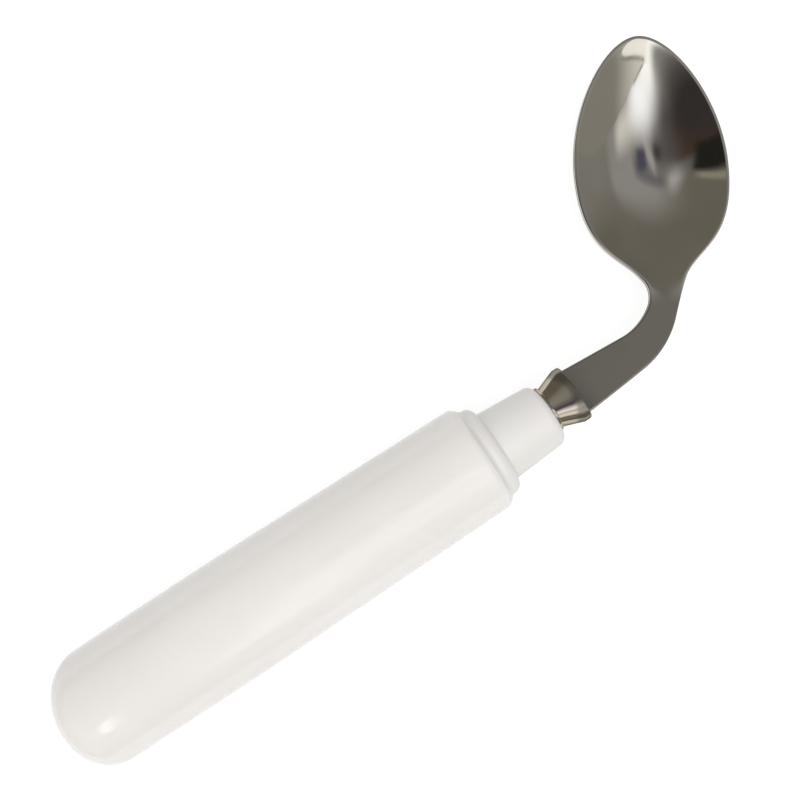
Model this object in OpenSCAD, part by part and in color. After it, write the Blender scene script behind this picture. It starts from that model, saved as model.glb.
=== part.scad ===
// Built-up handle spoon with the bowl bent to one side.
// A pressed steel spoon stands in a white plastic neck plug, which closes a thick hollow grip.
// Sizes are in millimetres. The grip lies on z = 0, and the bowl stands a little above it.

/* [Grip sleeve] */
// Diameter of the cylindrical rear stretch of the grip
grip_d = 28; // [24:0.5:36]
// Length of the grip from the crown of its closed end to its mouth
grip_l = 112; // [95:1:140]
// Length of the stretch that tapers towards the mouth
taper_l = 69; // [40:1:75]
// Diameter at the mouth, before its edge is rounded
mouth_d = 26; // [24:0.2:30]
// Rounding of the mouth's edge
mouth_round = 2.5; // [0.5:0.1:3]
// Wall of the sleeve at its mouth
sleeve_wall = 2.8; // [2:0.1:3.4]
// Radius of the crown that closes the rear end
crown_r = 28; // [20:1:60]
// Radius that leads from the crown into the side
crown_round = 7; // [3:0.5:11]

/* [Neck plug] */
// Diameter of the flange that seats on the mouth
flange_d = 22.2; // [20:0.2:25]
// Thickness of the flange
flange_t = 3; // [2:0.1:5]
// Rounding of the flange's front edge
flange_round = 2.4; // [0.4:0.1:3]
// Length of the neck from the flange to its nose
neck_l = 14.2; // [8:0.2:30]
// Diameter of the neck where it leaves the flange
neck_d = 17.2; // [15:0.2:19]
// Diameter of the neck at its nose, before the edge is rounded
nose_d = 15.2; // [13:0.2:18]
// Rounding of the nose
nose_round = 1.9; // [0.5:0.1:3]
// Length of the spigot inside the sleeve
spigot_l = 22; // [18:0.5:34]
// Wall of the hollow spigot
spigot_wall = 1.8; // [1.2:0.1:2.6]
// Thickness of the web that closes the spigot behind the flange
web_t = 2; // [1:0.1:3]
// Plastic around the tang
socket_wall = 1.8; // [1.2:0.1:2.4]

/* [Ferrule] */
// Length of the ferrule from its base to its front face
ferrule_l = 7.6; // [6:0.1:14]
// Diameter of the thin base that lies on the nose
base_d = 11.4; // [10.5:0.1:13]
// Thickness of the base
base_t = 0.7; // [0.4:0.1:1.2]
// Width of the waist
waist_w = 10; // [9.4:0.1:11]
// Height of the waist
waist_h = 9.2; // [5:0.1:10]
// Width of the lip
lip_w = 13.8; // [12.5:0.1:16]
// Height of the lip
lip_h = 8.4; // [6:0.1:11]
// Length of the straight band at the lip
lip_l = 1.7; // [1.2:0.1:3]
// Rounding of the lip's front edge
lip_round = 0.7; // [0.2:0.1:1]

/* [Stem] */
// Width of the stem where it leaves the ferrule
stem_w = 11.4; // [9:0.1:12.4]
// Thickness of the stem
stem_t = 2; // [1.5:0.1:3]
// Straight length from the ferrule to the bend
stem_l = 16.2; // [8:0.2:40]
// Radius of the sideways bend, on the stem's centre line
bend_r = 19.5; // [14:0.5:40]
// Angle of the bend
bend_angle = 63.3; // [0:0.1:90]
// Sideways shift of the stem off the grip's axis, towards the bowl
stem_shift = 0.6; // [0:0.1:1]
// How far the stem is rolled in the neck, down on the bowl's side; it twists back to level at the throat
stem_roll = 11; // [0:0.5:15]

/* [Bowl] */
// Width at the narrowest point, between the stem and the bowl
throat_w = 6.9; // [5:0.1:9]
// Distance from that point to the end of the bend
throat_lead = 7.8; // [0:0.2:10]
// Length from the narrowest point to the tip
bowl_l = 65; // [50:0.5:80]
// Width of the bowl
bowl_w = 36.5; // [28:0.5:44]
// Distance from the narrowest point to the widest
bowl_wide_at = 33.2; // [26:0.2:40]
// Depth of the hollow below the rim
bowl_depth = 7; // [5:0.1:11]
// Thickness of the bowl at its deepest point
bowl_t = 1.2; // [0.8:0.1:2]
// Height of the bowl's underside above the surface that the grip lies on
bowl_lift = 1.5; // [0:0.1:4]
// Flat land around the rim
rim_land = 0.8; // [0.6:0.1:1.6]
// Height of the rim's edge
rim_t = 1; // [0.7:0.1:1.4]
// Rounding of the rim's upper edge
rim_round = 0.4; // [0.1:0.05:0.5]

/* [Tang] */
// How far the tang reaches behind the sleeve's mouth
tang_depth = 14; // [12:0.5:18]
// Width of the tang
tang_w = 8; // [6.5:0.1:8.4]
// Width of the tang at the notches that lock it in its socket
notch_w = 5; // [3.5:0.1:6]
// Length of the notches
notch_l = 3; // [2:0.1:4]
// Distance from the tang's end to the notches
notch_inset = 3.5; // [2:0.1:4]
// Length of the sloping shoulders between the stem and the tang
shoulder_l = 1.7; // [1:0.1:3]

/* [Fit] */
// Clearance on each side between pieces that fit into one another
fit_gap = 0.05; // [0.02:0.01:0.15]

/* [Hidden] */
$fn = 96;
eps = 0.01;

grip_r = grip_d / 2;
mouth_r = mouth_d / 2;
bore_r = mouth_r - sleeve_wall;
nose_x = flange_t + neck_l;
stem_x = nose_x + ferrule_l;
spigot_r = bore_r - fit_gap;
socket_w = tang_w + 2 * socket_wall;
socket_h = stem_t + 2 * socket_wall;
socket_l = tang_depth + socket_wall;

// Stations along the spoon's centre line, measured from the stem's shoulders
bend_l = bend_r * bend_angle * PI / 180;
throat_s = stem_l + bend_l - throat_lead;
wide_s = throat_s + bowl_wide_at;
tip_s = throat_s + bowl_l;
// Handles of the curves that draw the bowl's outline from the throat to the widest point and to the tip
heel_lead = 0.45 * bowl_wide_at;
heel_full = 0.72 * bowl_wide_at;
nose_full = 0.49 * (tip_s - wide_s);
tip_full = 0.22 * bowl_w;
// Shape of a cross section: a flat stem with round edges, and a round hollow that flattens towards its rim
stem_power = 8;
bowl_power = 2;
wall_ease = 0.25;
rim_z = bowl_lift + bowl_depth + bowl_t - grip_r;
stem_rings = 14;
heel_rings = 18;
tip_rings = 18;
ring_cuts = 18;

function mix(a, b, f) = a + (b - a) * f;
function clamp01(f) = max(0, min(1, f));
function ease(f) = let (c = clamp01(f)) c * c * (3 - 2 * c);
function bezier(a, b, c, d, f) =
    a * pow(1 - f, 3) + 3 * b * f * pow(1 - f, 2) + 3 * c * f * f * (1 - f) + d * pow(f, 3);

// Centre line: straight out of the ferrule, round the bend, straight to the tip
function heading(s) = clamp01((s - stem_l) / bend_l) * bend_angle;
function on_plan(s, y) =
    let (a = heading(s), run = max(0, s - stem_l - bend_l))
    [
        stem_x + min(s, stem_l) + bend_r * sin(a) + run * cos(a) - y * sin(a),
        stem_shift + bend_r * (1 - cos(a)) + run * sin(a) + y * cos(a)
    ];

// Tang from its end to the shoulders, as [station, width]
tang_outline = let (end = -tang_depth - stem_x, notch = end + notch_inset, slope = (tang_w - notch_w) / 2) [
    [end, tang_w],
    [notch, tang_w],
    [notch + slope, notch_w],
    [notch + notch_l, notch_w],
    [notch + notch_l + slope, tang_w],
    [-shoulder_l, tang_w]
];
tang_rings = len(tang_outline);

// Outline as [station, half width], moved inwards by inset
function tang_edge(k, inset) = [tang_outline[k][0], tang_outline[k][1] / 2 - inset];
function stem_edge(f, inset) = [throat_s * f, mix(stem_w, throat_w, f) / 2 - inset];
function heel_edge(f, inset) = bezier(
    [throat_s, throat_w / 2 - inset],
    [throat_s + heel_lead, throat_w / 2 - inset],
    [wide_s - heel_full, bowl_w / 2 - inset],
    [wide_s, bowl_w / 2 - inset], f);
function tip_edge(f, inset) = bezier(
    [wide_s, bowl_w / 2 - inset],
    [wide_s + nose_full, bowl_w / 2 - inset],
    [tip_s - inset, tip_full - inset],
    [tip_s - inset, 0], f);
heel_start = tang_rings + stem_rings;
tip_start = heel_start + heel_rings;
last_ring = tip_start + tip_rings;
function edge(k, inset) =
    k < tang_rings ? tang_edge(k, inset)
    : k < heel_start ? stem_edge((k - tang_rings) / stem_rings, inset)
    : k < tip_start ? heel_edge((k - heel_start) / heel_rings, inset)
    : tip_edge((k - tip_start) / tip_rings, inset);

// Height of the upper face: the stem's plane, eased down to the rim
function top_z(s) = mix(stem_t / 2, rim_z, ease(s / (throat_s + heel_lead)));
// Share of the full depth along the bowl: a smooth start at the throat, a steeper end at the tip
function hollow(s, end_s) =
    s <= throat_s ? 0
    : s < wide_s ? pow(1 - pow((wide_s - s) / bowl_wide_at, 2), 2)
    : max(0, 1 - pow((s - wide_s) / (end_s - wide_s), 2));
// Share of the hollow's depth across a section: round, and easing out towards the rim
function dish(u) =
    let (rise = pow(abs(u), bowl_power))
    1 - (1 + wall_ease) * rise + wall_ease * rise * rise;
// Share of the belly across a section, which turns from the flat stem's into the bowl's along the heel
function across(u, s) =
    let (dished = ease((s - throat_s) / (wide_s - heel_full - throat_s)))
    mix(1 - pow(abs(u), stem_power), dish(u), dished);
// Thickness below the rim's edge
function belly(s) =
    let (h = hollow(s, tip_s), sheet = mix(stem_t, rim_t, ease((s - throat_s) / bowl_wide_at)))
    sheet - rim_t + h * (bowl_depth + bowl_t - sheet);

// Point of a section that is rolled about the middle of the stem, at height z
function roll(s) = stem_roll * (1 - ease(s / throat_s));
function at(s, y, z) =
    let (a = roll(s), mid_z = top_z(s) - stem_t / 2, up = z - mid_z)
    concat(on_plan(s, y * cos(a) + up * sin(a)), mid_z - y * sin(a) + up * cos(a));
function top_point(k, u) =
    let (e = edge(k, rim_land))
    at(e[0], u * e[1], top_z(e[0]) - bowl_depth * hollow(e[0], tip_s - rim_land) * dish(u));
function under_point(k, u) =
    let (e = edge(k, 0))
    at(e[0], u * e[1], top_z(e[0]) - rim_t - belly(e[0]) * across(u, e[0]));
function rim_point(k, side, a) =
    let (e = edge(k, rim_round * (1 - sin(a))))
    at(e[0], side * e[1], top_z(e[0]) - rim_round * (1 - cos(a)));

// One closed ring of points: upper face, right rim, underside, left rim
rim_angles = [0, 45, 90];
rim_count = len(rim_angles);
function ring(k) = concat(
    [for (j = [0:ring_cuts]) top_point(k, 1 - 2 * j / ring_cuts)],
    [for (a = rim_angles) rim_point(k, -1, a)],
    [for (j = [0:ring_cuts]) under_point(k, 2 * j / ring_cuts - 1)],
    [for (j = [1:rim_count]) rim_point(k, 1, rim_angles[rim_count - j])]);
ring_size = 2 * (ring_cuts + 1) + 2 * rim_count;
// At the tip both halves of the ring meet on the centre line
tip_points = concat(
    [top_point(last_ring, 0)],
    [for (a = rim_angles) rim_point(last_ring, 1, a)],
    [under_point(last_ring, 1)]);
function tip_slot(j) =
    j <= ring_cuts ? 0
    : j <= ring_cuts + rim_count ? j - ring_cuts
    : j <= 2 * ring_cuts + rim_count + 1 ? rim_count + 1
    : ring_size - j;
function ring_index(k, j) =
    let (i = j % ring_size)
    k < last_ring ? k * ring_size + i : last_ring * ring_size + tip_slot(i);
function patch(k, j) =
    let (
        a = ring_index(k, j),
        b = ring_index(k, j + 1),
        c = ring_index(k + 1, j + 1),
        d = ring_index(k + 1, j)
    )
    c == d ? [[a, c, b]] : [[a, c, b], [a, d, c]];

outline = [for (k = [0:last_ring], side = [-1, 1]) let (e = edge(k, 0)) on_plan(e[0], side * e[1])];
// The part's frame: middle of its plan, on the surface that it rests on
mid_x = (max([for (p = outline) p.x]) - grip_l) / 2;
mid_y = (max([for (p = outline) p.y]) - grip_r) / 2;

module place() {
    translate([-mid_x, -mid_y, grip_r]) children();
}

// Turns a profile drawn as [radius, distance along the grip] about the grip's axis
module turned() {
    rotate([0, 90, 0]) rotate_extrude() children();
}

// Where the straight side of a crowned end begins
function crown_side(r, end, crown, round_r) =
    end + crown - sqrt(pow(crown - round_r, 2) - pow(r - round_r, 2));

// Closed end of a turned shape: a shallow crown, and a round that leads into the side
module crown_profile(r, end, crown, round_r) {
    centre = end + crown;
    round_x = r - round_r;
    round_y = crown_side(r, end, crown, round_r);
    reach = 2 * crown / (crown - round_r);
    intersection() {
        translate([0, centre]) circle(crown);
        polygon([
            [0, centre],
            [0, centre - 2 * crown],
            [reach * round_x, centre + reach * (round_y - centre)]
        ]);
    }
    intersection() {
        translate([round_x, round_y]) circle(round_r);
        translate([0, end]) square([r, round_y - end + round_r]);
    }
}

// Side of a turned shape from radius r0 at 0 to r1 at l, with its front edge rounded
module cone_profile(r0, r1, l, edge_r) {
    m = min(edge_r, 0.9 * l);
    k = (r0 - r1) / l;
    a = atan(k);
    cx = r1 + k * m - m * sqrt(1 + k * k);
    cy = l - m;
    polygon([[0, 0], [r0, 0], [cx + m * cos(a), cy + m * sin(a)], [cx, cy], [cx, l], [0, l]]);
    intersection() {
        translate([cx, cy]) circle(m);
        translate([cx, cy]) square(2 * m);
    }
}

// Sets what fits the tang on its middle, rolled as the stem is
module rolled() {
    translate([0, stem_shift, 0]) rotate([-stem_roll, 0, 0]) children();
}

// Block along the tang
module along(x0, x1, w, h) {
    translate([x0, -w / 2, -h / 2]) cube([x1 - x0, w, h]);
}

// Room that the tang and its shoulders fill in the pieces around them
module tang_room() {
    stations = concat(tang_outline, [[0, stem_w], [eps, stem_w]]);
    count = len(stations);
    left = [for (e = stations) [e[0], e[1] / 2 + fit_gap]];
    right = [for (j = [1:count]) let (e = stations[count - j]) [e[0], -e[1] / 2 - fit_gap]];
    translate([stem_x, 0, -stem_t / 2 - fit_gap])
        linear_extrude(stem_t + 2 * fit_gap) polygon(concat(left, right));
}

// Hollow grip: a barrel with a crowned rear end, tapering to a round-edged mouth
module grip_sleeve() {
    side = crown_side(grip_r, -grip_l, crown_r, crown_round);
    bore_end = sleeve_wall - grip_l;
    bore_crown = crown_r - sleeve_wall;
    bore_round = max(1, crown_round - sleeve_wall);
    bore_side = crown_side(bore_r, bore_end, bore_crown, bore_round);
    color("whitesmoke") place() turned() difference() {
        union() {
            crown_profile(grip_r, -grip_l, crown_r, crown_round);
            translate([0, side]) square([grip_r, -taper_l - side]);
            translate([0, -taper_l]) cone_profile(grip_r, mouth_r, taper_l, mouth_round);
        }
        union() {
            crown_profile(bore_r, bore_end, bore_crown, bore_round);
            translate([0, bore_side]) square([bore_r, eps - bore_side]);
        }
    }
}

// Neck, flange and hollow spigot in one moulding, with a socket for the tang
module neck_plug() {
    color("white") place() difference() {
        union() {
            turned() difference() {
                union() {
                    translate([0, flange_t]) cone_profile(neck_d / 2, nose_d / 2, neck_l, nose_round);
                    cone_profile(flange_d / 2, flange_d / 2, flange_t, flange_round);
                    translate([0, -spigot_l]) square([spigot_r, spigot_l]);
                }
                translate([0, -spigot_l - eps]) square([spigot_r - spigot_wall, spigot_l - web_t + eps]);
            }
            rolled() along(-socket_l, -web_t / 2, socket_w, socket_h);
            intersection() {
                rolled() for (a = [0, 90])
                    rotate([a, 0, 0]) along(-socket_l, -web_t / 2, 2 * spigot_r, socket_wall);
                translate([-spigot_l, 0, 0])
                    rotate([0, 90, 0]) cylinder(r = spigot_r - spigot_wall / 2, h = spigot_l);
            }
        }
        rolled() tang_room();
    }
}

// Section of the ferrule: an oval at a distance x from the nose
oval_cuts = 48;
function oval(x, w, h) = [
    for (j = [0:oval_cuts - 1])
        let (a = 360 * j / oval_cuts)
        [x, w / 2 * cos(a), h / 2 * sin(a)]
];
lip_cuts = 4;
ferrule_rings = concat(
    [oval(base_t, waist_w, waist_h)],
    [oval(ferrule_l - lip_l, lip_w, lip_h)],
    [
        for (j = [0:lip_cuts])
            let (a = 90 * j / lip_cuts, cut = lip_round * (1 - cos(a)))
            oval(ferrule_l - lip_round * (1 - sin(a)), lip_w - 2 * cut, lip_h - 2 * cut)
    ]);

// Solid through a row of rings that have the same number of points
module loft(rings) {
    n = len(rings[0]);
    last = len(rings) - 1;
    sides = [
        for (k = [0:last - 1], j = [0:n - 1])
            let (a = k * n + j, b = k * n + (j + 1) % n)
            each [[a, b + n, b], [a, a + n, b + n]]
    ];
    ends = [[for (j = [0:n - 1]) j], [for (j = [0:n - 1]) last * n + n - 1 - j]];
    polyhedron([for (r = rings) each r], concat(sides, ends));
}

// Metal collar between the nose and the stem: thin round base, narrow waist, flare and lip
module ferrule() {
    color("silver") place() rolled() difference() {
        translate([nose_x, 0, 0]) union() {
            rotate([0, 90, 0]) cylinder(d = base_d, h = base_t + eps);
            loft(ferrule_rings);
        }
        tang_room();
    }
}

// Pressed steel spoon: bowl, bent stem and tang in one piece
module spoon() {
    points = concat([for (k = [0:last_ring - 1]) each ring(k)], tip_points, [at(tang_outline[0][0], 0, 0)]);
    end_centre = len(points) - 1;
    color("darkgray") place() polyhedron(
        points,
        concat(
            [for (j = [0:ring_size - 1]) [end_centre, j, (j + 1) % ring_size]],
            [for (k = [0:last_ring - 1], j = [0:ring_size - 1]) each patch(k, j)]));
}

grip_sleeve();
neck_plug();
ferrule();
spoon();
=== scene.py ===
"""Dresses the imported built-up handle spoon with smooth meshes, finishes, studio light and a camera.

Places are in the part's own frame: +X along the grip towards the bowl, +Y to the side that the bowl is bent
to, +Z up, with z = 0 on the surface that the part rests on. Sizes in the classes are in millimetres, as a
maker writes them, and are turned into metres where they are used.
"""

import logging
import math
from abc import ABC, abstractmethod
from dataclasses import dataclass
from enum import Enum
from typing import ClassVar

import bmesh
import bpy
from mathutils import Matrix, Vector


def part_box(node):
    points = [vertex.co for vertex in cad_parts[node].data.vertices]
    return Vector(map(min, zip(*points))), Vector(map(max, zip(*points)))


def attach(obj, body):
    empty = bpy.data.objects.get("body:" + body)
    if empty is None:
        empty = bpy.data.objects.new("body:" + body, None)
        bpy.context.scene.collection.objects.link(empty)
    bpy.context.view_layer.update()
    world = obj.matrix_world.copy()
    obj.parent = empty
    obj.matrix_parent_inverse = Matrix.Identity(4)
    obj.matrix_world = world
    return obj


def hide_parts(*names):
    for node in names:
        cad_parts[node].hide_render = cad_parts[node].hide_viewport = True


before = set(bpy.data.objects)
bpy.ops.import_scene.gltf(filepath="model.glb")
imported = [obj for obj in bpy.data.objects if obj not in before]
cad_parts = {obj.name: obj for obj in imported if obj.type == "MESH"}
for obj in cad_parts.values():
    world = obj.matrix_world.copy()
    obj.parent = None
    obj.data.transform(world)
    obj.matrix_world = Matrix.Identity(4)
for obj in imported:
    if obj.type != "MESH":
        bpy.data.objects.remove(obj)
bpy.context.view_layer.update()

LOG = logging.getLogger("spoon")
MM = 0.001
TOUCH = 0.001
ROOT_BODY = "root"
STEM_ROLL = math.radians(11.0)
STEM_SHIFT = 0.6
BEND_ANGLE = math.radians(63.3)
SHARP_ANGLE = math.radians(40.0)

RGB = tuple[float, float, float]
Place = tuple[float, float, float]
Span = tuple[float, float]


class CadNode(Enum):
    """CAD nodes that the dressed pieces stand for."""

    GRIP_SLEEVE = "grip_sleeve"
    NECK_PLUG = "neck_plug"
    FERRULE = "ferrule"
    SPOON = "spoon"


class Slot(Enum):
    """Material slots of the record."""

    GRIP_PLASTIC = "grip_plastic"
    PLUG_PLASTIC = "plug_plastic"
    FERRULE_STEEL = "ferrule_steel"
    SPOON_STEEL = "spoon_steel"


class Rounded(Enum):
    """What a rounding is made on."""

    CORNERS = "VERTICES"
    EDGES = "EDGES"


def mix(a: float, b: float, share: float) -> float:
    """Value between a and b."""
    return a + (b - a) * share


def ease(share: float) -> float:
    """Smooth step from 0 to 1, level at both ends."""
    held = max(0.0, min(1.0, share))
    return held * held * (3 - 2 * held)


def bezier(points: tuple[Span, Span, Span, Span], share: float) -> Span:
    """Point on a cubic curve.

    Args:
        points: The curve's start, its two handles and its end.
        share: Where on the curve, from 0 to 1.

    Returns:
        The point's two coordinates.
    """
    rest = 1 - share
    weights = (rest**3, 3 * share * rest**2, 3 * share**2 * rest, share**3)
    return (
        sum(w * p[0] for w, p in zip(weights, points)),
        sum(w * p[1] for w, p in zip(weights, points)),
    )


def round_off(bm: bmesh.types.BMesh, geom: list[object], offset: float, segments: int, on: Rounded) -> None:
    """Rounds corners of a line or edges of a skin.

    Args:
        bm: Mesh that they belong to.
        geom: The corners' vertices, or the edges.
        offset: How far from them the rounding starts, in the mesh's own unit.
        segments: Pieces that a rounding is made of.
        on: Whether it is made on corners or on edges.
    """
    bmesh.ops.bevel(
        bm,
        geom=geom,
        offset=offset,
        offset_type="OFFSET",
        segments=segments,
        profile=0.5,
        affect=on.value,
        material=-1,
    )


def add_object(name: str, data: bpy.types.ID) -> bpy.types.Object:
    """Adds an object to the scene.

    Args:
        name: The object's name.
        data: Its mesh, lamp or camera.

    Returns:
        The object.
    """
    made = bpy.data.objects.new(name, data)
    bpy.context.scene.collection.objects.link(made)
    return made


class NodeGraph:
    """Short hand for adding shader nodes to a tree and linking them.

    A Mix node has sockets of the same names for each kind of data, so those for its share, its two colours
    and the mixed colour are called by their numbers.
    """

    MIX_INPUTS: ClassVar[tuple[int, int, int]] = (0, 6, 7)
    MIX_RESULT: ClassVar[int] = 2

    def __init__(self, tree: bpy.types.NodeTree) -> None:
        """Starts with an empty tree."""
        self.tree = tree
        self.tree.nodes.clear()

    def feed(self, socket: bpy.types.NodeSocket, value: object) -> None:
        """Links an input socket or sets it.

        Args:
            socket: The input socket.
            value: A socket to link to it, or its value, which is three numbers for a colour.
        """
        if isinstance(value, bpy.types.NodeSocket):
            self.tree.links.new(value, socket)
        elif socket.type == "RGBA":
            socket.default_value = (*value, 1.0)
        else:
            socket.default_value = value

    def add(
        self, kind: str, inputs: dict[str | int, object] | None = None, **settings: object
    ) -> bpy.types.Node:
        """Adds one node.

        Args:
            kind: Name of the node's type.
            inputs: Values for its input sockets, or sockets to link to them.
            settings: Properties of the node.

        Returns:
            The new node.
        """
        node = self.tree.nodes.new(kind)
        for name, value in settings.items():
            setattr(node, name, value)
        for name, value in (inputs or {}).items():
            self.feed(node.inputs[name], value)
        return node

    def group(self, tree: bpy.types.NodeTree, inputs: dict[str, object]) -> bpy.types.Node:
        """Adds a node that holds a group."""
        return self.add("ShaderNodeGroup", inputs, node_tree=tree)

    def math(self, operation: str, *values: object) -> bpy.types.NodeSocket:
        """Result of a Math node on numbers or sockets."""
        return self.add("ShaderNodeMath", dict(enumerate(values)), operation=operation).outputs[0]

    def ramp(
        self, value: bpy.types.NodeSocket, start: object, end: object, low: float, high: float
    ) -> bpy.types.NodeSocket:
        """Adds a smooth change between two numbers.

        Args:
            value: Socket that the change follows.
            start: Value where the change starts, or a socket for it.
            end: Value where it ends, or a socket for it.
            low: Result up to the start.
            high: Result from the end on.

        Returns:
            The result's socket.
        """
        inputs = {"Value": value, "From Min": start, "From Max": end, "To Min": low, "To Max": high}
        node = self.add("ShaderNodeMapRange", inputs, interpolation_type="SMOOTHSTEP")
        return node.outputs["Result"]

    def blend(self, share: object, a: object, b: object) -> bpy.types.NodeSocket:
        """Adds a colour between two others.

        Args:
            share: How much of the second colour it holds, or a socket for that.
            a: The first colour, or a socket for it.
            b: The second colour, or a socket for it.

        Returns:
            The mixed colour's socket.
        """
        node = self.add("ShaderNodeMix", data_type="RGBA")
        for number, value in zip(self.MIX_INPUTS, (share, a, b)):
            self.feed(node.inputs[number], value)
        return node.outputs[self.MIX_RESULT]


def new_material(name: str) -> tuple[bpy.types.Material, NodeGraph]:
    """Starts a node material.

    Args:
        name: The material's name.

    Returns:
        The material and the graph of its nodes.
    """
    material = bpy.data.materials.new(name)
    material.use_nodes = True
    return material, NodeGraph(material.node_tree)


def new_group(
    name: str, inputs: dict[str, str], outputs: dict[str, str]
) -> tuple[NodeGraph, bpy.types.Node, bpy.types.Node]:
    """Starts a shader node group.

    Args:
        name: The group's name.
        inputs: Names and socket types of its inputs.
        outputs: Names and socket types of its outputs.

    Returns:
        Its graph, its input node and its output node.
    """
    tree = bpy.data.node_groups.new(name, "ShaderNodeTree")
    for in_out, sockets in (("INPUT", inputs), ("OUTPUT", outputs)):
        for socket, kind in sockets.items():
            tree.interface.new_socket(name=socket, in_out=in_out, socket_type=kind)
    graph = NodeGraph(tree)
    return graph, graph.add("NodeGroupInput"), graph.add("NodeGroupOutput")


class Effects:
    """Shader node groups that several finishes share, and the mask of the studio's cards."""

    CLOUD_DETAIL: ClassVar[float] = 2.0
    GRAIN_DETAIL: ClassVar[float] = 3.0
    MOTTLE_ROUGHNESS: ClassVar[float] = 0.5
    MOTTLE_SPAN: ClassVar[Span] = (0.3, 0.7)
    LINE_DETAIL: ClassVar[float] = 2.0
    LINE_ROUGHNESS: ClassVar[float] = 0.6
    DEEP_LINE_SPAN: ClassVar[Span] = (0.62, 0.74)

    def __init__(self) -> None:
        """Builds every group once."""
        self.mottle = self._mottle()
        self.hairlines = self._hairlines()
        self.soft_card = self._soft_card()

    def _mottle(self) -> bpy.types.NodeTree:
        """Makes cloudy patches, and a finer grain.

        Returns:
            The group.
        """
        graph, given, result = new_group(
            "mottle",
            {
                "Vector": "NodeSocketVector",
                "Patch Scale": "NodeSocketFloat",
                "Grain Scale": "NodeSocketFloat",
            },
            {"Patches": "NodeSocketFloat", "Grain": "NodeSocketFloat"},
        )
        for output, scale, detail in (
            ("Patches", "Patch Scale", self.CLOUD_DETAIL),
            ("Grain", "Grain Scale", self.GRAIN_DETAIL),
        ):
            noise = graph.add(
                "ShaderNodeTexNoise",
                {
                    "Vector": given.outputs["Vector"],
                    "Scale": given.outputs[scale],
                    "Detail": detail,
                    "Roughness": self.MOTTLE_ROUGHNESS,
                },
            )
            spread = graph.ramp(noise.outputs[0], *self.MOTTLE_SPAN, 0.0, 1.0)
            graph.tree.links.new(spread, result.inputs[output])
        return graph.tree

    def _hairlines(self) -> bpy.types.NodeTree:
        """Makes fine polishing lines along the vector's X, with a few deeper ones.

        Returns:
            The group.
        """
        graph, given, result = new_group(
            "hairlines",
            {"Vector": "NodeSocketVector", "Line Scale": "NodeSocketFloat", "Stretch": "NodeSocketFloat"},
            {"Lines": "NodeSocketFloat", "Deep Lines": "NodeSocketFloat"},
        )
        parts = graph.add("ShaderNodeSeparateXYZ", {0: given.outputs["Vector"]})
        along = graph.math("DIVIDE", parts.outputs["X"], given.outputs["Stretch"])
        drawn = graph.add(
            "ShaderNodeCombineXYZ", {"X": along, "Y": parts.outputs["Y"], "Z": parts.outputs["Z"]}
        )
        noise = graph.add(
            "ShaderNodeTexNoise",
            {
                "Vector": drawn.outputs[0],
                "Scale": given.outputs["Line Scale"],
                "Detail": self.LINE_DETAIL,
                "Roughness": self.LINE_ROUGHNESS,
            },
        )
        deep = graph.ramp(noise.outputs[0], *self.DEEP_LINE_SPAN, 0.0, 1.0)
        graph.tree.links.new(noise.outputs[0], result.inputs["Lines"])
        graph.tree.links.new(deep, result.inputs["Deep Lines"])
        return graph.tree

    @staticmethod
    def _soft_card() -> bpy.types.NodeTree:
        """Makes the mask of a soft-edged rectangle on the ceiling.

        Returns:
            The group.
        """
        graph, given, result = new_group(
            "soft_card",
            {
                "Place": "NodeSocketVector",
                "Centre": "NodeSocketVector",
                "Turn": "NodeSocketVector",
                "Half Size": "NodeSocketVector",
                "Softness": "NodeSocketVector",
            },
            {"Mask": "NodeSocketFloat"},
        )
        links = {"Vector": "Place", "Location": "Centre", "Rotation": "Turn", "Scale": "Half Size"}
        inputs = {name: given.outputs[source] for name, source in links.items()}
        local = graph.add("ShaderNodeMapping", inputs, vector_type="TEXTURE")
        off = graph.add("ShaderNodeSeparateXYZ", {0: local.outputs[0]})
        soft = graph.add("ShaderNodeSeparateXYZ", {0: given.outputs["Softness"]})
        masks = []
        for axis in ("X", "Y"):
            share = graph.math("ABSOLUTE", off.outputs[axis])
            inner = graph.math("SUBTRACT", 1.0, soft.outputs[axis])
            outer = graph.math("ADD", 1.0, soft.outputs[axis])
            masks.append(graph.ramp(share, inner, outer, 1.0, 0.0))
        graph.tree.links.new(graph.math("MULTIPLY", *masks), result.inputs["Mask"])
        return graph.tree


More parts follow.
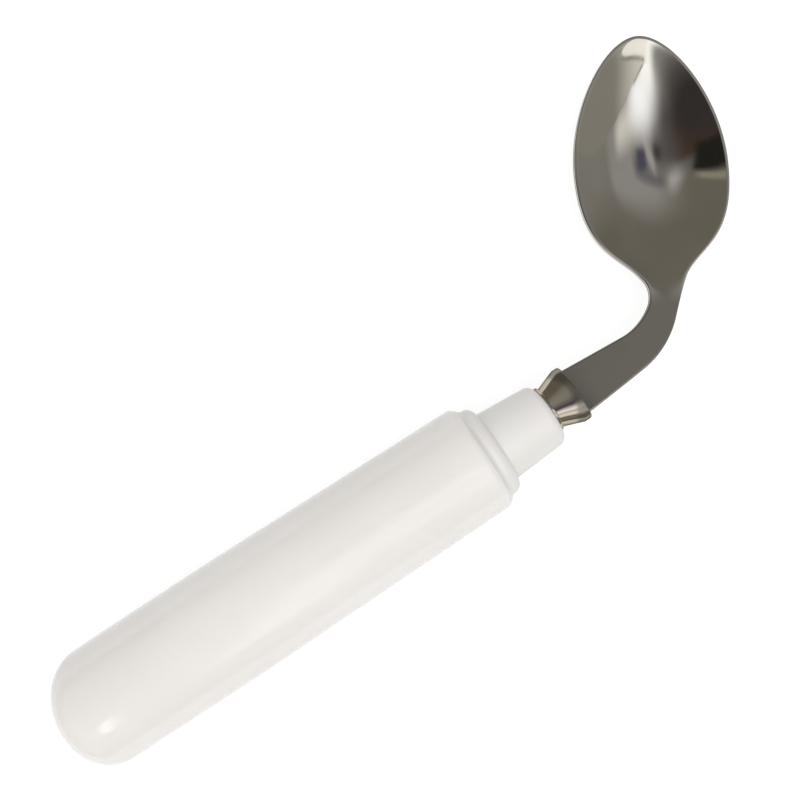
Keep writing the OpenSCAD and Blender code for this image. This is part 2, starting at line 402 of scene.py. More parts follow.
@dataclass(frozen=True)
class PlasticFinish:
    """Smooth moulded plastic with faint clouds and a slight orange peel.

    glow is the share of the light that scatters inside the plastic, glow_depth is how far it goes there, and
    glow_tint is each colour's share of that depth.
    """

    name: str
    shade: RGB
    light: RGB
    roughness: Span
    glow: float
    glow_depth: float = 2.0
    glow_tint: RGB = (1.0, 0.9, 0.8)
    clouds_per_m: float = 45.0
    peel_per_m: float = 420.0
    peel_height: float = 0.002
    peel_strength: float = 0.5
    ior: float = 1.47

    def material(self, effects: Effects) -> bpy.types.Material:
        """Makes the node material of this finish.

        Args:
            effects: Node groups that it is made with.

        Returns:
            The material.
        """
        material, graph = new_material(self.name)
        place = graph.add("ShaderNodeTexCoord").outputs["Object"]
        mottle = graph.group(
            effects.mottle,
            {"Vector": place, "Patch Scale": self.clouds_per_m, "Grain Scale": self.peel_per_m},
        )
        colour = graph.blend(mottle.outputs["Patches"], self.shade, self.light)
        rough = graph.ramp(mottle.outputs["Grain"], 0.0, 1.0, *self.roughness)
        peel = graph.add(
            "ShaderNodeBump",
            {
                "Height": mottle.outputs["Grain"],
                "Strength": self.peel_strength,
                "Distance": self.peel_height * MM,
            },
        )
        shader = graph.add(
            "ShaderNodeBsdfPrincipled",
            {
                "Base Color": colour,
                "Roughness": rough,
                "Normal": peel.outputs[0],
                "IOR": self.ior,
                "Subsurface Weight": self.glow,
                "Subsurface Radius": self.glow_tint,
                "Subsurface Scale": self.glow_depth * MM,
            },
        )
        graph.add("ShaderNodeOutputMaterial", {"Surface": shader.outputs[0]})
        return material


@dataclass(frozen=True)
class DullShadedStretch:
    """Steel that is left rougher and painted darker, away from the middle of a polished place.

    colour is painted shade, not a tone of the steel, and added_roughness makes the finish duller.
    polish_and_shade_ends are the distances from the middle where the polish starts to fade and the painted
    shade comes in, and where the polish has gone and the shade is full.
    """

    middle: Place
    polish_and_shade_ends: Span
    colour: RGB
    added_roughness: float


@dataclass(frozen=True)
class SteelFinish:
    """Polished steel with cloudy wipe marks, fine polishing lines and darker edges.

    Away from a given middle it turns rougher, and its colour is painted darker there as shade.
    """

    name: str
    shade: RGB
    light: RGB
    roughness: Span
    line_turn: float
    dull_and_shade: DullShadedStretch
    edge_tint: RGB = (0.25, 0.24, 0.22)
    clouds_per_m: float = 60.0
    wipes_per_m: float = 300.0
    lines_per_m: float = 2600.0
    line_stretch: float = 60.0
    line_depth: float = 0.0012
    line_strength: float = 0.4
    line_gain: float = 0.05

    def material(self, effects: Effects) -> bpy.types.Material:
        """Makes the node material of this finish.

        Args:
            effects: Node groups that it is made with.

        Returns:
            The material.
        """
        material, graph = new_material(self.name)
        place = graph.add("ShaderNodeTexCoord").outputs["Object"]
        mottle = graph.group(
            effects.mottle,
            {"Vector": place, "Patch Scale": self.clouds_per_m, "Grain Scale": self.wipes_per_m},
        )
        turned = graph.add("ShaderNodeMapping", {"Vector": place, "Rotation": (0.0, 0.0, -self.line_turn)})
        lines = graph.group(
            effects.hairlines,
            {"Vector": turned.outputs[0], "Line Scale": self.lines_per_m, "Stretch": self.line_stretch},
        )
        polished = graph.blend(mottle.outputs["Patches"], self.shade, self.light)
        wiped = graph.ramp(mottle.outputs["Grain"], 0.0, 1.0, *self.roughness)
        lined = graph.math("MULTIPLY_ADD", lines.outputs["Deep Lines"], self.line_gain, wiped)
        # Away from the middle the roughness rises and the colour is painted darker: painted shade, not a tone
        # of the steel.
        middle = Vector(self.dull_and_shade.middle) * MM
        fade, gone = (end * MM for end in self.dull_and_shade.polish_and_shade_ends)
        away = graph.add("ShaderNodeVectorMath", {0: place, 1: middle}, operation="DISTANCE")
        share = graph.ramp(away.outputs["Value"], fade, gone, 0.0, 1.0)
        scored = graph.add(
            "ShaderNodeBump",
            {
                "Height": lines.outputs["Lines"],
                "Strength": self.line_strength,
                "Distance": self.line_depth * MM,
            },
        )
        shader = graph.add(
            "ShaderNodeBsdfPrincipled",
            {
                "Base Color": graph.blend(share, polished, self.dull_and_shade.colour),
                "Metallic": 1.0,
                "Roughness": graph.math("MULTIPLY_ADD", share, self.dull_and_shade.added_roughness, lined),
                "Specular Tint": self.edge_tint,
                "Normal": scored.outputs[0],
            },
        )
        graph.add("ShaderNodeOutputMaterial", {"Surface": shader.outputs[0]})
        return material


@dataclass(frozen=True)
class GripAxis:
    """The grip's axis, with distances counted from the sleeve's mouth towards the bowl."""

    mouth: Vector

    @classmethod
    def from_frame(cls) -> "GripAxis":
        """Axis through the middle of the CAD sleeve's mouth."""
        low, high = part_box(CadNode.GRIP_SLEEVE.value)
        return cls(Vector((high.x, (low.y + high.y) / 2, (low.z + high.z) / 2)))

    def at(self, along: float, side: float = 0.0, up: float = 0.0) -> Vector:
        """Point in the part's frame, from millimetres along, beside and above the axis."""
        return self.mouth + Vector((along, side, up)) * MM


class LatheProfile:
    """A line in the upright plane of the grip's axis, which is turned into a closed skin."""

    WELD: ClassVar[float] = 0.001

    def __init__(self, axis: GripAxis, along: float, radius: float) -> None:
        """Starts the line.

        Args:
            axis: Axis that it is turned about.
            along: Distance of its start along the axis.
            radius: Radius at its start.
        """
        self.axis = axis
        self.bm = bmesh.new()
        self.first = self.bm.verts.new(axis.at(along, up=radius))
        self.last = self.first
        self.corners: list[tuple[bmesh.types.BMVert, float]] = []

    def line(self, along: float, radius: float, corner: float = 0.0, cuts: int = 0) -> None:
        """Draws a straight stretch.

        Args:
            along: Distance of its end along the axis.
            radius: Radius at its end.
            corner: How far from its end the corner there is rounded.
            cuts: Points to add within the stretch.
        """
        start = self.last.co.copy()
        end = self.axis.at(along, up=radius)
        for step in range(1, cuts + 2):
            made = bmesh.ops.extrude_vert_indiv(self.bm, verts=[self.last])
            self.last = made["verts"][0]
            self.last.co = start.lerp(end, step / (cuts + 1))
        if corner:
            self.corners.append((self.last, corner))

    def arc(self, along: float, radius: float, degrees: float, steps: int) -> None:
        """Draws an arc about a centre.

        Args:
            along: Distance of the centre along the axis.
            radius: The centre's own radius.
            degrees: Angle of the arc, positive where the line turns towards the mouth and the axis.
            steps: Pieces that the arc is made of.
        """
        made = bmesh.ops.spin(
            self.bm,
            geom=[self.last],
            cent=self.axis.at(along, up=radius),
            axis=(0, 1, 0),
            angle=math.radians(degrees),
            steps=steps,
        )
        self.last = made["geom_last"][0]

    def close(self) -> None:
        """Joins the line's end to its start."""
        self.bm.edges.new((self.last, self.first))

    def turn(self, steps: int, segments: int) -> bmesh.types.BMesh:
        """Rounds the corners and turns the line about the axis.

        Args:
            steps: Pieces that the full turn is made of.
            segments: Pieces that a rounded corner is made of.

        Returns:
            The closed skin.
        """
        for vert, offset in self.corners:
            round_off(self.bm, [vert], offset * MM, segments, Rounded.CORNERS)
        bmesh.ops.spin(
            self.bm,
            geom=self.bm.verts[:] + self.bm.edges[:],
            cent=self.axis.mouth,
            axis=(1, 0, 0),
            angle=math.tau,
            steps=steps,
            use_merge=True,
        )
        bmesh.ops.remove_doubles(self.bm, verts=self.bm.verts[:], dist=self.WELD * MM)
        bmesh.ops.recalc_face_normals(self.bm, faces=self.bm.faces[:])
        return self.bm


@dataclass
class Piece(ABC):
    """A sub-assembly that stands for one CAD node."""

    node: ClassVar[CadNode]
    slot: ClassVar[Slot]
    finish: ClassVar[PlasticFinish | SteelFinish]

    axis: GripAxis

    @abstractmethod
    def build(self) -> bmesh.types.BMesh:
        """Mesh of the piece, in the part's frame."""

    def dress(self, effects: Effects) -> None:
        """Makes the piece's object, gives it its finish and hangs it on the frame.

        Args:
            effects: Node groups for the finish.
        """
        bm = self.build()
        for face in bm.faces:
            face.smooth = True
        mesh = bpy.data.meshes.new(f"{self.node.value}_skin")
        bm.to_mesh(mesh)
        bm.free()
        mesh.set_sharp_from_angle(angle=SHARP_ANGLE)
        mesh.materials.append(self.finish.material(effects))
        skin = add_object(mesh.name, mesh)
        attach(skin, ROOT_BODY)
        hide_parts(self.node.value)
        LOG.info("%s: %d faces", skin.name, len(mesh.polygons))


@dataclass
class GripSleeve(Piece):
    """Thick hollow grip with a crowned end and a round-edged mouth.

    crown is the radius of the end's crown, and taper is the length that narrows towards the mouth.
    """

    node: ClassVar[CadNode] = CadNode.GRIP_SLEEVE
    slot: ClassVar[Slot] = Slot.GRIP_PLASTIC
    finish: ClassVar[PlasticFinish] = PlasticFinish(
        "grip_plastic",
        shade=(0.83, 0.80, 0.765),
        light=(0.845, 0.82, 0.79),
        roughness=(0.07, 0.085),
        glow=0.8,
    )

    length: float = 112.0
    radius: float = 14.0
    taper: float = 69.0
    mouth_radius: float = 13.0
    mouth_round: float = 2.5
    bore_round: float = 0.3
    wall: float = 2.8
    crown: float = 28.0
    crown_round: float = 7.0

    def build(self) -> bmesh.types.BMesh:
        """Turns the outer wall, the mouth and the bore from one line.

        Returns:
            The sleeve's skin.
        """
        lead = math.degrees(math.asin((self.radius - self.crown_round) / (self.crown - self.crown_round)))
        shoulder = self.crown - self.length - math.cos(math.radians(lead)) * (self.crown - self.crown_round)
        bore = self.mouth_radius - self.wall
        profile = LatheProfile(self.axis, -self.length, 0.0)
        profile.arc(self.crown - self.length, 0.0, lead, steps=12)
        profile.arc(shoulder, self.radius - self.crown_round, 90 - lead, steps=20)
        profile.line(-self.taper, self.radius, cuts=6)
        profile.line(0.0, self.mouth_radius, corner=self.mouth_round, cuts=12)
        profile.line(0.0, bore, corner=self.bore_round)
        profile.line(self.wall - self.length, bore, corner=2 * self.wall, cuts=4)
        profile.line(self.wall - self.length, 0.0)
        return profile.turn(steps=160, segments=10)


@dataclass
class NeckPlug(Piece):
    """White neck with a round nose, a seating ring and the spigot inside the grip.

    A cove runs from cove, just inside the grip's rounded mouth, to the ring, so the seam is soft.
    """

    node: ClassVar[CadNode] = CadNode.NECK_PLUG
    slot: ClassVar[Slot] = Slot.PLUG_PLASTIC
    finish: ClassVar[PlasticFinish] = PlasticFinish(
        "plug_plastic",
        shade=(0.79, 0.765, 0.735),
        light=(0.805, 0.785, 0.755),
        roughness=(0.34, 0.40),
        glow=0.0,
    )

    ring_radius: float = 11.1
    ring: float = 3.0
    ring_round: float = 2.4
    seat_inset: float = 0.5
    cove: Span = (-0.70, 12.2)
    cove_handles: tuple[Span, Span] = ((-0.29, 11.8), (0.0, 11.1))
    cove_end: float = 0.6
    cove_steps: int = 8
    neck: float = 14.2
    neck_radius: float = 8.6
    nose_radius: float = 7.6
    nose_round: float = 1.9
    root_round: float = 0.8
    spigot: float = 22.0
    spigot_radius: float = 10.15
    spigot_wall: float = 1.8
    spigot_round: float = 0.4
    web: float = 2.0
    web_round: float = 0.5
    tang_bore: float = 4.3

    def build(self) -> bmesh.types.BMesh:
        """Turns the neck, the ring and the hollow spigot from one closed line.

        Returns:
            The plug's skin.
        """
        inner = self.spigot_radius - self.spigot_wall
        nose = self.ring + self.neck
        curve = (self.cove, *self.cove_handles, (self.cove_end, self.ring_radius))
        profile = LatheProfile(self.axis, -self.web, self.tang_bore)
        profile.line(-self.web, inner, corner=self.web_round)
        profile.line(-self.spigot, inner)
        profile.line(-self.spigot, self.spigot_radius, corner=self.spigot_round)
        profile.line(0.0, self.spigot_radius)
        profile.line(0.0, self.ring_radius - self.seat_inset)
        for step in range(self.cove_steps + 1):
            profile.line(*bezier(curve, step / self.cove_steps))
        profile.line(self.ring, self.ring_radius, corner=self.ring_round)
        profile.line(self.ring, self.neck_radius, corner=self.root_round)
        profile.line(nose, self.nose_radius, corner=self.nose_round, cuts=4)
        profile.line(nose, self.tang_bore)
        profile.close()
        return profile.turn(steps=128, segments=10)


@dataclass
class Ferrule(Piece):
    """Metal collar with a thin round base, a narrow waist, a flare and a lip.

    waist and lip are widths and heights. fullness is the power of the section's curve, which is 2 for an oval
    and more for a fuller form.
    """

    node: ClassVar[CadNode] = CadNode.FERRULE
    slot: ClassVar[Slot] = Slot.FERRULE_STEEL
    finish: ClassVar[SteelFinish] = SteelFinish(
        "ferrule_steel",
        shade=(0.45, 0.405, 0.33),
        light=(0.50, 0.455, 0.385),
        roughness=(0.08, 0.14),
        line_turn=0.0,
        # The darker colour towards the lip is painted shade: the shadow in the gap where the stem enters.
        dull_and_shade=DullShadedStretch(
            middle=(27.9, -24.0, 14.0),
            polish_and_shade_ends=(6.9, 8.0),
            colour=(0.28, 0.255, 0.215),
            added_roughness=0.12,
        ),
    )

    start: float = 17.2
    length: float = 7.6
    base_radius: float = 5.7
    base: float = 0.7
    base_round: float = 0.2
    waist: Span = (10.0, 9.2)
    lip: Span = (13.8, 8.4)
    lip_length: float = 1.7
    lip_round: float = 0.5
    fullness: float = 2.5
    shift: float = STEM_SHIFT
    roll: float = STEM_ROLL

    flare_rings: int = 4

    def build(self) -> bmesh.types.BMesh:
        """Sets a flared tube on a thin disc and rolls both into place.

        Returns:
            The ferrule's skin.
        """
        bm = bmesh.new()
        upright = Matrix.Rotation(math.pi / 2, 4, "Y")
        self.add_tube(bm, upright)
        self.add_disc(bm, upright)
        rolled = Matrix.Rotation(-self.roll, 4, "X") @ Matrix.Scale(MM, 4)
        bmesh.ops.transform(bm, matrix=rolled, verts=bm.verts[:])
        bmesh.ops.translate(bm, vec=self.axis.at(self.start, self.shift), verts=bm.verts[:])
        bmesh.ops.recalc_face_normals(bm, faces=bm.faces[:])
        return bm

    def fuller(self, reach: float) -> float:
        """Reach from the middle of a unit circle, moved out to the fuller curve of the section."""
        return math.copysign(abs(reach) ** (2 / self.fullness), reach)

    def add_tube(self, bm: bmesh.types.BMesh, upright: Matrix) -> None:
        """Flares a full oval tube towards its lip.

        Args:
            bm: Empty mesh that takes the tube.
            upright: Turn that lays an upright shape along the axis.
        """
        body = self.length - self.base
        flare = body - self.lip_length
        bmesh.ops.create_cone(
            bm, cap_ends=True, segments=160, radius1=1.0, radius2=1.0, depth=body, matrix=upright
        )
        for vert in bm.verts:
            vert.co.y = self.fuller(vert.co.y)
            vert.co.z = self.fuller(vert.co.z)
        bmesh.ops.scale(bm, vec=Vector((1.0, self.lip[0] / 2, self.lip[1] / 2)), verts=bm.verts[:])
        for ring in range(self.flare_rings, 0, -1):
            everything = bm.verts[:] + bm.edges[:] + bm.faces[:]
            plane = (flare * ring / self.flare_rings - body / 2, 0, 0)
            bmesh.ops.bisect_plane(bm, geom=everything, plane_co=plane, plane_no=(1, 0, 0))
        for vert in bm.verts:
            share = max(0.0, 1 - (vert.co.x + body / 2) / flare)
            vert.co.y *= mix(1.0, self.waist[0] / self.lip[0], share)
            vert.co.z *= mix(1.0, self.waist[1] / self.lip[1], share)
        front = [e for e in bm.edges if all(v.co.x > body / 2 - TOUCH for v in e.verts)]
        round_off(bm, front, self.lip_round, 5, Rounded.EDGES)
        bmesh.ops.translate(bm, vec=(self.base + body / 2, 0, 0), verts=bm.verts[:])

    def add_disc(self, bm: bmesh.types.BMesh, upright: Matrix) -> None:
        """Adds the round-edged disc of the base.

        Args:
            bm: Mesh that takes the disc.
            upright: Turn that lays an upright shape along the axis.
        """
        disc = bmesh.ops.create_cone(
            bm,
            cap_ends=True,
            segments=96,
            radius1=self.base_radius,
            radius2=self.base_radius,
            depth=self.base,
            matrix=Matrix.Translation((self.base / 2, 0, 0)) @ upright,
        )["verts"]
        edges = [e for e in bm.edges if all(v in disc for v in e.verts)]
        hoops = [e for e in edges if abs(e.verts[0].co.x - e.verts[1].co.x) < TOUCH]
        round_off(bm, hoops, self.base_round, 3, Rounded.EDGES)


class Face(Enum):
    """Faces of the spoon's section that a rail runs along."""

    TOP = "top"
    LAND = "land"
    RIM = "rim"
    UNDER = "under"


@dataclass(frozen=True)
class Rail:
    """A line that runs along the spoon from its tang to its tip.

    place is the share of the half width on the top and underside, from -1 on the right to 1 on the left. On
    the land it is the distance from the outer edge, and on the rim the angle from upright.
    """

    face: Face
    side: int
    place: float


@dataclass
class Spoon(Piece):
    """Pressed steel spoon: bowl, bent stem and tang in one piece.

    The throat lies throat_lead before the bend's end, and the bowl is widest at wide_at from the throat. lift
    is the height of the bowl's underside above the surface, and rest_drop that of the grip's axis. heel_lead,
    heel_full, nose_full and tip_full are shares that shape the bowl's outline.
    """

    node: ClassVar[CadNode] = CadNode.SPOON
    slot: ClassVar[Slot] = Slot.SPOON_STEEL
    finish: ClassVar[SteelFinish] = SteelFinish(
        "spoon_steel",
        shade=(0.57, 0.55, 0.505),
        light=(0.63, 0.61, 0.57),
        roughness=(0.03, 0.06),
        line_turn=BEND_ANGLE,
        # The stem's darker colour away from the bowl is painted shade in place of a dim reflection; the added
        # roughness makes the stem a duller finish.
        dull_and_shade=DullShadedStretch(
            middle=(81.5, 10.8, 0.0),
            polish_and_shade_ends=(30.0, 36.0),
            colour=(0.34, 0.325, 0.285),
            added_roughness=0.1,
        ),
    )

    start: float = 24.8
    shift: float = STEM_SHIFT
    stem: float = 16.2
    stem_width: float = 11.4
    stem_thick: float = 2.0
    stem_flatness: int = 8
    bend_radius: float = 19.5
    bend_angle: float = BEND_ANGLE
    roll: float = STEM_ROLL
    throat_width: float = 6.9
    throat_lead: float = 7.8
    bowl: float = 65.0
    bowl_width: float = 36.5
    wide_at: float = 33.2
    heel_lead: float = 0.45
    heel_full: float = 0.72
    nose_full: float = 0.49
    tip_full: float = 0.22
    depth: float = 7.0
    bowl_thick: float = 1.2
    lift: float = 1.5
    wall_ease: float = 0.25
    land: float = 0.8
    land_step: float = 0.15
    rim: float = 1.0
    rim_round: float = 0.4
    rest_drop: float = 14.0
    tang: float = 38.8
    tang_width: float = 8.0
    notch_width: float = 5.0
    notch: float = 3.0
    notch_inset: float = 3.5
    shoulder: float = 1.7

    stem_rows: int = 48
    heel_rows: int = 72
    tip_rows: int = 72
    top_rails: int = 72
    rim_degrees: tuple[int, ...] = (0, 30, 60, 90)
    weld: float = 0.0005

    def __post_init__(self) -> None:
        """Works out the stations along the centre line, counted from the stem's shoulders."""
        self.bend = self.bend_radius * self.bend_angle
        self.throat_s = self.stem + self.bend - self.throat_lead
        self.wide_s = self.throat_s + self.wide_at
        self.tip_s = self.throat_s + self.bowl
        self.lead_s = self.throat_s + self.heel_lead * self.wide_at
        self.full_s = self.wide_s - self.heel_full * self.wide_at
        self.nose_s = self.wide_s + self.nose_full * (self.tip_s - self.wide_s)
        self.rim_z = self.lift + self.depth + self.bowl_thick - self.rest_drop
        slope = (self.tang_width - self.notch_width) / 2
        notch = self.notch_inset - self.tang
        self.tang_outline: list[Span] = [
            (-self.tang, self.tang_width),
            (notch, self.tang_width),
            (notch + slope, self.notch_width),
            (notch + self.notch, self.notch_width),
            (notch + self.notch + slope, self.tang_width),
            (-self.shoulder, self.tang_width),
        ]
        self.stem_start = len(self.tang_outline)
        self.heel_start = self.stem_start + self.stem_rows
        self.tip_start = self.heel_start + self.heel_rows
        self.last_row = self.tip_start + self.tip_rows

    def edge(self, row: int, inset: float) -> Span:
        """Finds the outline at a row.

        Args:
            row: Number of the row, counted from the tang's end.
            inset: How far the outline is moved inwards.

        Returns:
            The station and the half width there.
        """
        if row < self.stem_start:
            station, width = self.tang_outline[row]
            return station, width / 2 - inset
        if row < self.heel_start:
            share = (row - self.stem_start) / self.stem_rows
            return self.throat_s * share, mix(self.stem_width, self.throat_width, share) / 2 - inset
        throat = self.throat_width / 2 - inset
        wide = self.bowl_width / 2 - inset
        if row < self.tip_start:
            heel = ((self.throat_s, throat), (self.lead_s, throat), (self.full_s, wide), (self.wide_s, wide))
            return bezier(heel, (row - self.heel_start) / self.heel_rows)
        end = self.tip_s - inset
        blunt = self.tip_full * self.bowl_width - inset
        tip = ((self.wide_s, wide), (self.nose_s, wide), (end, blunt), (end, 0.0))
        return bezier(tip, (row - self.tip_start) / self.tip_rows)

    def on_plan(self, station: float, aside: float) -> Span:
        """Follows the bent centre line, seen from above.

        Args:
            station: Distance along the centre line.
            aside: Distance to the left of it.

        Returns:
            The distances along and beside the grip's axis.
        """
        turn = max(0.0, min(1.0, (station - self.stem) / self.bend)) * self.bend_angle
        run = max(0.0, station - self.stem - self.bend)
        straight = self.start + min(station, self.stem)
        along = straight + self.bend_radius * math.sin(turn) + run * math.cos(turn) - aside * math.sin(turn)
        beside = self.shift + self.bend_radius * (1 - math.cos(turn)) + run * math.sin(turn)
        return along, beside + aside * math.cos(turn)

    def top_z(self, station: float) -> float:
        """Height of the upper face: the stem's plane, eased down to the rim."""
        return mix(self.stem_thick / 2, self.rim_z, ease(station / self.lead_s))

    def hollow(self, station: float, end: float) -> float:
        """Shapes the hollow along the centre line.

        Args:
            station: Distance along the centre line.
            end: Station where the hollow ends at the tip.

        Returns:
            The share of the full depth there.
        """
        if station <= self.throat_s:
            return 0.0
        if station < self.wide_s:
            return (1 - ((self.wide_s - station) / self.wide_at) ** 2) ** 2
        return max(0.0, 1 - ((station - self.wide_s) / (end - self.wide_s)) ** 2)

    def dish(self, share: float) -> float:
        """Share of the hollow's depth across the section: round, and easing out towards the rim."""
        rise = share * share
        return 1 - (1 + self.wall_ease) * rise + self.wall_ease * rise * rise

    def across(self, share: float, station: float) -> float:
        """Share of the belly across the section: flat under the stem and round under the bowl."""
        dished = ease((station - self.throat_s) / (self.full_s - self.throat_s))
        return mix(1 - abs(share) ** self.stem_flatness, self.dish(share), dished)

    def belly(self, station: float) -> float:
        """Thickness below the rim's edge."""
        sheet = mix(self.stem_thick, self.rim, ease((station - self.throat_s) / self.wide_at))
        return sheet - self.rim + self.hollow(station, self.tip_s) * (self.depth + self.bowl_thick - sheet)

    def point(self, row: int, rail: Rail) -> Vector:
        """Finds where a rail crosses a row.

        Args:
            row: Number of the row, counted from the tang's end.
            rail: The rail.

        Returns:
            The point in the part's frame.
        """
        if rail.face is Face.TOP:
            station, half = self.edge(row, self.land)
            aside = rail.place * half
            sunk = self.depth * self.hollow(station, self.tip_s - self.land) * self.dish(rail.place)
        elif rail.face is Face.LAND:
            station, half = self.edge(row, rail.place)
            aside = rail.side * half
            sunk = 0.0
        elif rail.face is Face.RIM:
            station, half = self.edge(row, self.rim_round * (1 - math.sin(rail.place)))
            aside = rail.side * half
            sunk = self.rim_round * (1 - math.cos(rail.place))
        else:
            station, half = self.edge(row, 0.0)
            aside = rail.place * half
            sunk = self.rim + self.belly(station) * self.across(rail.place, station)
        return self.rolled(station, aside, self.stem_thick / 2 - sunk)

    def rolled(self, station: float, aside: float, up: float) -> Vector:
        """Rolls a section about the middle of the stem.

        Args:
            station: Distance of the section along the centre line.
            aside: Distance to the left of the section's middle.
            up: Height above the stem's middle.

        Returns:
            The point in the part's frame.
        """
        turn = self.roll * (1 - ease(station / self.throat_s))
        along, beside = self.on_plan(station, aside * math.cos(turn) + up * math.sin(turn))
        middle = self.top_z(station) - self.stem_thick / 2
        return self.axis.at(along, beside, middle - aside * math.sin(turn) + up * math.cos(turn))

    def rails(self) -> list[Rail]:
        """Sets out the rails in order round the section.

        Returns:
            The rails, with the first one repeated at the end.
        """
        count = self.top_rails
        spread = [math.sin(math.pi / 2 * (1 - 2 * j / count)) for j in range(count + 1)]
        lands = [self.land - self.land_step, mix(self.land, self.rim_round, 0.5)]
        angles = [math.radians(degrees) for degrees in self.rim_degrees]
        top = [Rail(Face.TOP, 0, share) for share in spread]
        right = [Rail(Face.LAND, -1, inset) for inset in lands]
        right += [Rail(Face.RIM, -1, angle) for angle in angles]
        under = [Rail(Face.UNDER, 0, -share) for share in spread]
        left = [Rail(Face.RIM, 1, angle) for angle in reversed(angles)]
        left += [Rail(Face.LAND, 1, inset) for inset in reversed(lands)]
        return top + right + under + left + top[:1]

    def build(self) -> bmesh.types.BMesh:
        """Wraps a grid round the spoon's section and along its centre line.

        Returns:
            The spoon's skin.
        """
        rails = self.rails()
        bm = bmesh.new()
        bmesh.ops.create_grid(bm, x_segments=self.last_row, y_segments=len(rails) - 1, size=0.5)
        for vert in bm.verts:
            row = round((vert.co.x + 0.5) * self.last_row)
            rail = round((vert.co.y + 0.5) * (len(rails) - 1))
            vert.co = self.point(row, rails[rail])
        bmesh.ops.remove_doubles(bm, verts=bm.verts[:], dist=self.weld * MM)
        open_edges = [e for e in bm.edges if e.is_boundary]
        bmesh.ops.holes_fill(bm, edges=open_edges, sides=0)
        bmesh.ops.recalc_face_normals(bm, faces=bm.faces[:])
        return bm


@dataclass(frozen=True)
class Card:
    """A soft-edged patch on a ceiling one unit above the part.

    Places and sizes are in that unit, with x to the picture's right and y to its top. softness is a share of
    half the width and of half the height, and turn is in degrees.
    """

    name: str
    centre: Span
    size: Span
    softness: Span
    radiance: RGB
    turn: float = 0.0


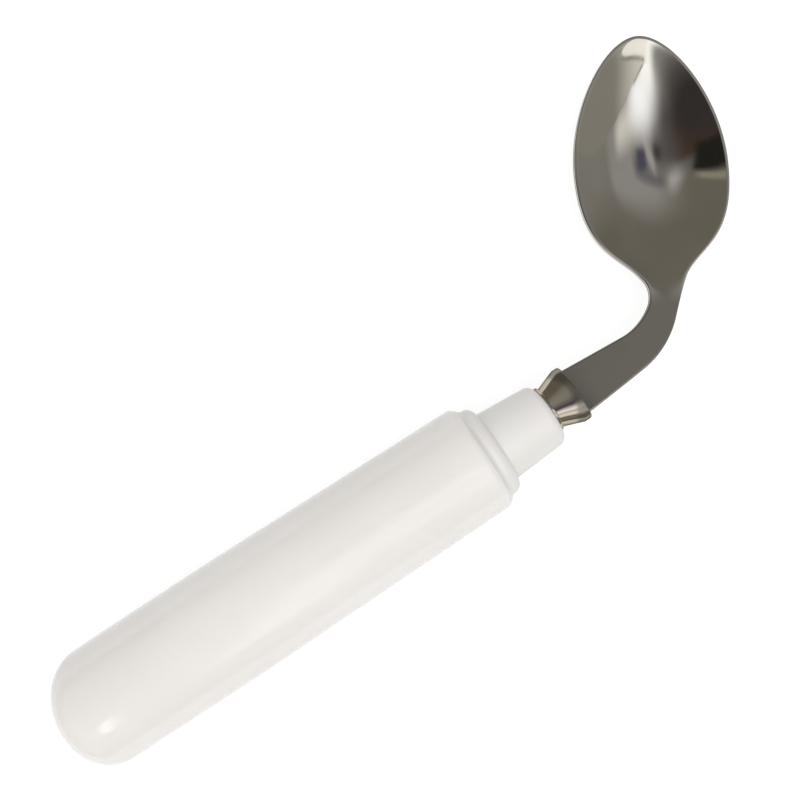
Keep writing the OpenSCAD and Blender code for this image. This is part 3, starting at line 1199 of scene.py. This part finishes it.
@dataclass
class Studio:
    """Floor, surroundings, lamp and camera.

    lamp_at is counted along the picture's own sides. fill is the even light on the plastic and the floor.
    Steel mirrors the cards and the ceiling where a direction's upward share is past horizon, and white below
    it. lowest is the least upward share that a place on the ceiling is worked out with.
    """

    turn: float = math.radians(-33.2)
    camera_at: Place = (1.07, -3.54, 174.77)
    lens: float = 31.5
    sensor: float = 36.0
    near: float = 10.0
    floor_size: float = 6000.0
    floor_paint: RGB = (0.8, 0.8, 0.8)
    floor_shade: RGB = (0.3, 0.3, 0.3)
    floor_glow: float = 0.8
    lamp_watts: float = 2.0
    lamp_size: float = 700.0
    lamp_at: Place = (30.0, -140.0, 580.0)
    white: RGB = (1.0, 1.0, 1.0)
    fill: RGB = (0.6, 0.6, 0.6)
    horizon: float = 0.03
    lowest: float = 0.02
    ceiling: RGB = (0.205, 0.19, 0.16)
    cards: tuple[Card, ...] = (
        Card("right wall", (3.6, 0.3), (9.0, 3.0), (0.8, 0.6), (0.31, 0.30, 0.275), 30),
        Card("pale ceiling", (0.9, 0.4), (2.3, 0.9), (0.35, 0.6), (0.39, 0.38, 0.37), 12),
        Card("pale patch", (-0.4, 0.25), (0.2, 0.32), (1.0, 1.0), (0.56, 0.54, 0.54), -40),
        Card("dark corner", (-0.7, -0.1), (1.4, 0.6), (0.15, 0.35), (0.13, 0.12, 0.12)),
        Card("brown corner", (-0.85, -0.05), (0.8, 0.3), (0.55, 0.25), (0.075, 0.05, 0.035), 8),
        Card("darkest corner", (-0.9, -0.25), (0.85, 0.65), (0.3, 0.4), (0.048, 0.042, 0.042), -20),
        Card("black card", (-0.845, 0.175), (0.34, 0.2), (0.25, 0.25), (0.022, 0.022, 0.018), -12),
        Card("black card's edge", (-0.83, 0.32), (0.26, 0.045), (0.4, 0.7), (0.36, 0.35, 0.27), -15),
        Card("dim bar", (0.17, 0.28), (0.8, 0.15), (0.3, 1.0), (0.20, 0.195, 0.205), -4),
        Card("dark block", (0.3, 0.19), (0.28, 0.13), (0.6, 0.5), (0.10, 0.10, 0.14), 11),
        Card("dark spot", (-0.1, 0.1), (0.14, 0.08), (0.85, 0.9), (0.075, 0.07, 0.07), -7),
        Card("pale gap", (0.12, 0.11), (0.36, 0.08), (0.45, 1.0), (0.47, 0.45, 0.45), -36),
        Card("curtain", (0.6, 0.0), (1.55, 0.22), (0.4, 1.0), (0.96, 0.93, 0.90), 20),
        Card("window", (0.3, -0.14), (0.65, 0.28), (0.85, 1.0), (1.5, 1.53, 1.6), 6),
        Card("lower window", (0.16, -0.75), (0.36, 1.1), (0.6, 0.15), (1.5, 1.52, 1.52), 6),
        Card("lit screen", (4.48, 1.15), (9.0, 0.5), (0.006, 0.04), (0.95, 0.91, 0.85), 22),
        Card("shaded screen", (4.85, 1.31), (8.6, 0.5), (0.2, 0.04), (0.34, 0.325, 0.295), 22),
        Card("sill", (1.05, -0.49), (1.95, 0.5), (0.1, 0.03), (1.3, 1.27, 1.2), 5),
        Card("sill's edge", (0.68, -0.275), (1.1, 0.022), (0.1, 0.6), (0.40, 0.38, 0.34), 6),
        Card("screen's edge", (0.33, -0.245), (0.38, 0.02), (0.3, 0.7), (0.50, 0.48, 0.45), 22),
        Card("tube lamp", (-0.25, -0.93), (0.5, 0.02), (0.3, 0.3), (8.0, 8.0, 7.8), -75),
    )

    def floor(self) -> None:
        """Lays a white floor that keeps a soft shadow."""
        bm = bmesh.new()
        bmesh.ops.create_grid(bm, x_segments=1, y_segments=1, size=self.floor_size / 2 * MM)
        mesh = bpy.data.meshes.new("floor")
        bm.to_mesh(mesh)
        bm.free()
        material, graph = new_material("floor_white")
        path = graph.add("ShaderNodeLightPath")
        seen = graph.math("MAXIMUM", path.outputs["Is Camera Ray"], path.outputs["Is Glossy Ray"])
        seen = graph.math("MAXIMUM", seen, path.outputs["Is Transmission Ray"])
        paint = graph.add("ShaderNodeBsdfDiffuse", {"Color": self.floor_paint})
        shaded = graph.add("ShaderNodeBsdfDiffuse", {"Color": self.floor_shade})
        glow = graph.add("ShaderNodeEmission", {"Color": self.white, "Strength": self.floor_glow})
        pale = graph.add("ShaderNodeAddShader", {0: shaded.outputs[0], 1: glow.outputs[0]})
        shown = graph.add("ShaderNodeMixShader", {0: seen, 1: paint.outputs[0], 2: pale.outputs[0]})
        graph.add("ShaderNodeOutputMaterial", {"Surface": shown.outputs[0]})
        mesh.materials.append(material)
        floor = add_object("floor", mesh)

    def surroundings(self, effects: Effects) -> None:
        """Sets the room that the steel mirrors, an even light for the rest and white for the camera.

        Args:
            effects: Node groups, for the cards' mask.
        """
        world = bpy.data.worlds.new("studio")
        world.use_nodes = True
        bpy.context.scene.world = world
        graph = NodeGraph(world.node_tree)
        around = graph.add("ShaderNodeTexCoord").outputs["Generated"]
        mapping = {"Vector": around, "Rotation": (0.0, 0.0, -self.turn)}
        direction = graph.add("ShaderNodeMapping", mapping, vector_type="VECTOR").outputs[0]
        parts = graph.add("ShaderNodeSeparateXYZ", {0: direction})
        height = graph.math("MAXIMUM", parts.outputs["Z"], self.lowest)
        beside = [graph.math("DIVIDE", parts.outputs[axis], height) for axis in ("X", "Y")]
        place = graph.add("ShaderNodeCombineXYZ", {"X": beside[0], "Y": beside[1]}).outputs[0]
        colour: RGB | bpy.types.NodeSocket = self.ceiling
        for card in self.cards:
            inputs = {
                "Place": place,
                "Centre": (*card.centre, 0.0),
                "Turn": (0.0, 0.0, math.radians(card.turn)),
                "Half Size": (card.size[0] / 2, card.size[1] / 2, 1.0),
                "Softness": (*card.softness, 0.0),
            }
            patch = graph.group(effects.soft_card, inputs)
            patch.label = card.name
            colour = graph.blend(patch.outputs["Mask"], colour, card.radiance)
        path = graph.add("ShaderNodeLightPath")
        mirrored = graph.math("MAXIMUM", path.outputs["Is Glossy Ray"], path.outputs["Is Transmission Ray"])
        seen = graph.math("MAXIMUM", path.outputs["Is Camera Ray"], mirrored)
        plain = graph.blend(seen, self.fill, self.white)
        high = graph.ramp(parts.outputs["Z"], 0.0, self.horizon, 0.0, 1.0)
        colour = graph.blend(graph.math("MULTIPLY", mirrored, high), plain, colour)
        sky = graph.add("ShaderNodeBackground", {"Color": colour})
        graph.add("ShaderNodeOutputWorld", {"Surface": sky.outputs[0]})

    def lamp(self) -> None:
        """Hangs a large soft lamp at the window's side, which stays out of reflections."""
        light = bpy.data.lights.new("window_lamp", "AREA")
        light.shape = "DISK"
        light.size = self.lamp_size * MM
        light.energy = self.lamp_watts
        lamp = add_object("window_lamp", light)
        lamp.location = Matrix.Rotation(self.turn, 3, "Z") @ Vector(self.lamp_at) * MM
        lamp.rotation_euler = lamp.location.to_track_quat("Z", "Y").to_euler()
        lamp.visible_glossy = False

    def camera(self) -> None:
        """Sets the camera straight above the part, at the photograph's angle."""
        data = bpy.data.cameras.new("camera")
        data.sensor_width = self.sensor
        data.lens = self.lens
        data.clip_start = self.near * MM
        camera = add_object("camera", data)
        camera.location = Vector(self.camera_at) * MM
        camera.rotation_euler = (0.0, 0.0, self.turn)
        bpy.context.scene.camera = camera


def main() -> None:
    """Builds the studio and every piece of the spoon."""
    logging.basicConfig(level=logging.INFO, format="%(message)s")
    bpy.context.scene.view_settings.view_transform = "Standard"
    effects = Effects()
    studio = Studio()
    studio.camera()
    studio.floor()
    studio.surroundings(effects)
    studio.lamp()
    axis = GripAxis.from_frame()
    for piece in (GripSleeve(axis), NeckPlug(axis), Ferrule(axis), Spoon(axis)):
        piece.dress(effects)


if __name__ == "__main__":
    main()
